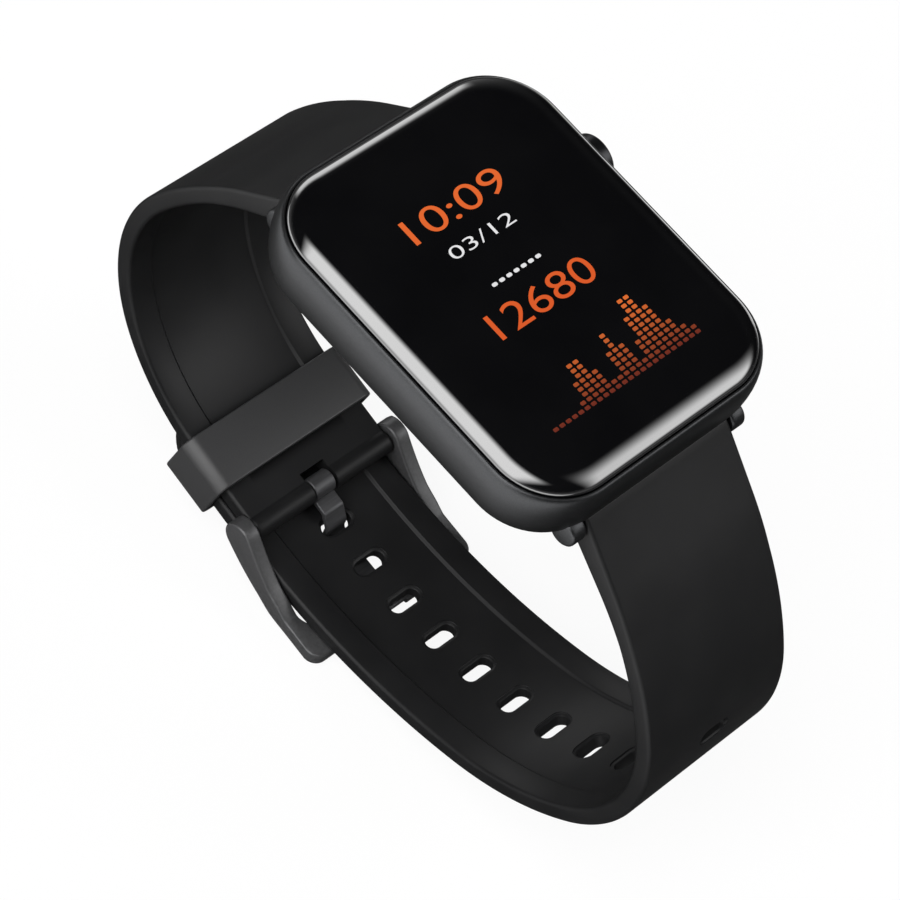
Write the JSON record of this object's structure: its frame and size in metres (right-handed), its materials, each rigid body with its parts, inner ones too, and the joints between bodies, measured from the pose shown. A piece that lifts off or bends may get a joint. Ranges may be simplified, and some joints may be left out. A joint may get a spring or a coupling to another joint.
{
  "type": "smartwatch",
  "caption": "Square smartwatch with a curved cover glass, side button, case back with sensor window, and a silicone strap closed in a loop by a tang buckle and keeper.",
  "frame": {"origin": "centre of the sensor window's outer face, where the case back meets the wrist", "axes": "+Z out of the display, +Y to 12 o'clock, +X to 3 o'clock; the strap loop hangs below on -Z"},
  "size_m": [0.0367, 0.0799, 0.0629],
  "materials": {
    "anodised_case": "bead-blasted, anodised dark grey",
    "black_glass": "polished, black backed",
    "adhesive": "black foam tape",
    "display_panel": "black panel",
    "circuit_board": "solder mask",
    "shield_tin": "tinned sheet",
    "battery_foil": "laminate pouch",
    "motor_steel": "pressed",
    "motor_weight": "sintered heavy metal",
    "rear_cover": "fine spark texture",
    "seal_rubber": "moulded",
    "screw_steel": "black nickel",
    "sensor_window": "polished, dark tint",
    "sensor_chip": "clear resin",
    "contact_gold": "gold plated",
    "side_button": "turned, anodised dark grey",
    "clip_steel": "stamped",
    "switch_body": "moulded",
    "spring_bar_steel": "drawn",
    "spring_steel": "drawn wire",
    "strap_silicone": "matte moulded silicone",
    "keeper_silicone": "matte moulded silicone",
    "buckle_metal": "black coated steel",
    "tongue_metal": "dark coated steel, lighter than the frame"
  },
  "bodies": {
    "case": {"case_frame": "anodised_case", "cover_glass": "black_glass", "glass_adhesive": "adhesive", "display_panel": "display_panel", "main_board": "circuit_board", "board_shield": "shield_tin", "battery": "battery_foil", "motor_can": "motor_steel", "motor_lid": "motor_steel", "motor_shaft": "motor_steel", "rear_cover": "rear_cover", "rear_gasket": "seal_rubber", "rear_screw_1": "screw_steel", "rear_screw_2": "screw_steel", "rear_screw_3": "screw_steel", "rear_screw_4": "screw_steel", "sensor_window": "sensor_window", "sensor_led_1": "sensor_chip", "sensor_led_2": "sensor_chip", "photodiode": "sensor_chip", "sensor_board": "circuit_board", "charge_contact_1": "contact_gold", "charge_contact_2": "contact_gold", "button_o_ring": "seal_rubber", "button_switch": "switch_body", "spring_bar_tube_12": "spring_bar_steel", "spring_bar_tube_6": "spring_bar_steel", "spring_bar_spring_12": "spring_steel", "spring_bar_spring_6": "spring_steel", "strap_short": "strap_silicone", "strap_long": "strap_silicone"},
    "button": {"side_button": "side_button", "button_clip": "clip_steel"},
    "rotor": {"motor_rotor": "motor_weight"},
    "tip_12_left": {"spring_bar_tip_12_left": "spring_bar_steel"},
    "tip_12_right": {"spring_bar_tip_12_right": "spring_bar_steel"},
    "tip_6_left": {"spring_bar_tip_6_left": "spring_bar_steel"},
    "tip_6_right": {"spring_bar_tip_6_right": "spring_bar_steel"},
    "clasp": {"buckle_bar": "buckle_metal"},
    "buckle": {"buckle_frame": "buckle_metal"},
    "tongue": {"tongue": "tongue_metal"},
    "keeper": {"keeper": "keeper_silicone"}
  },
  "joints": [
    {"name": "button_press", "type": "slide", "parent": "case", "child": "button", "axis": [-1, 0, 0], "range_m": [0, 0.00045], "stiffness_N_per_m": 3000},
    {"name": "motor_spin", "type": "hinge", "parent": "case", "child": "rotor", "pos_m": [0.0094, -0.007, 0.004], "axis": [0, 0, 1], "continuous": true},
    {"name": "tip_12_left_press", "type": "slide", "parent": "case", "child": "tip_12_left", "axis": [1, 0, 0], "range_m": [0, 0.0011], "stiffness_N_per_m": 800, "deforming": ["spring_bar_spring_12"]},
    {"name": "tip_12_right_press", "type": "slide", "parent": "case", "child": "tip_12_right", "axis": [-1, 0, 0], "range_m": [0, 0.0011], "stiffness_N_per_m": 800, "deforming": ["spring_bar_spring_12"]},
    {"name": "tip_6_left_press", "type": "slide", "parent": "case", "child": "tip_6_left", "axis": [1, 0, 0], "range_m": [0, 0.0011], "stiffness_N_per_m": 800, "deforming": ["spring_bar_spring_6"]},
    {"name": "tip_6_right_press", "type": "slide", "parent": "case", "child": "tip_6_right", "axis": [-1, 0, 0], "range_m": [0, 0.0011], "stiffness_N_per_m": 800, "deforming": ["spring_bar_spring_6"]},
    {"name": "loop_flex", "type": "slide", "parent": "case", "child": "clasp", "axis": [0, 0, 1], "range_m": [-0.003, 0.006], "stiffness_N_per_m": 600, "deforming": ["strap_short", "strap_long"]},
    {"name": "buckle_swing", "type": "hinge", "parent": "clasp", "child": "buckle", "pos_m": [0, 0.01087, -0.04577], "axis": [1, 0, 0], "range_deg": [0, 3]},
    {"name": "tongue_swing", "type": "hinge", "parent": "clasp", "child": "tongue", "pos_m": [0, 0.01087, -0.04577], "axis": [1, 0, 0], "range_deg": [0, 3]},
    {"name": "keeper_slide", "type": "slide", "parent": "clasp", "child": "keeper", "axis": [0, 0.9816, 0.1908], "range_m": [-0.0015, 0.0015]}
  ],
  "couplings": [
    {"joint": "tongue_swing", "follows": "buckle_swing", "ratio": 1}
  ]
}
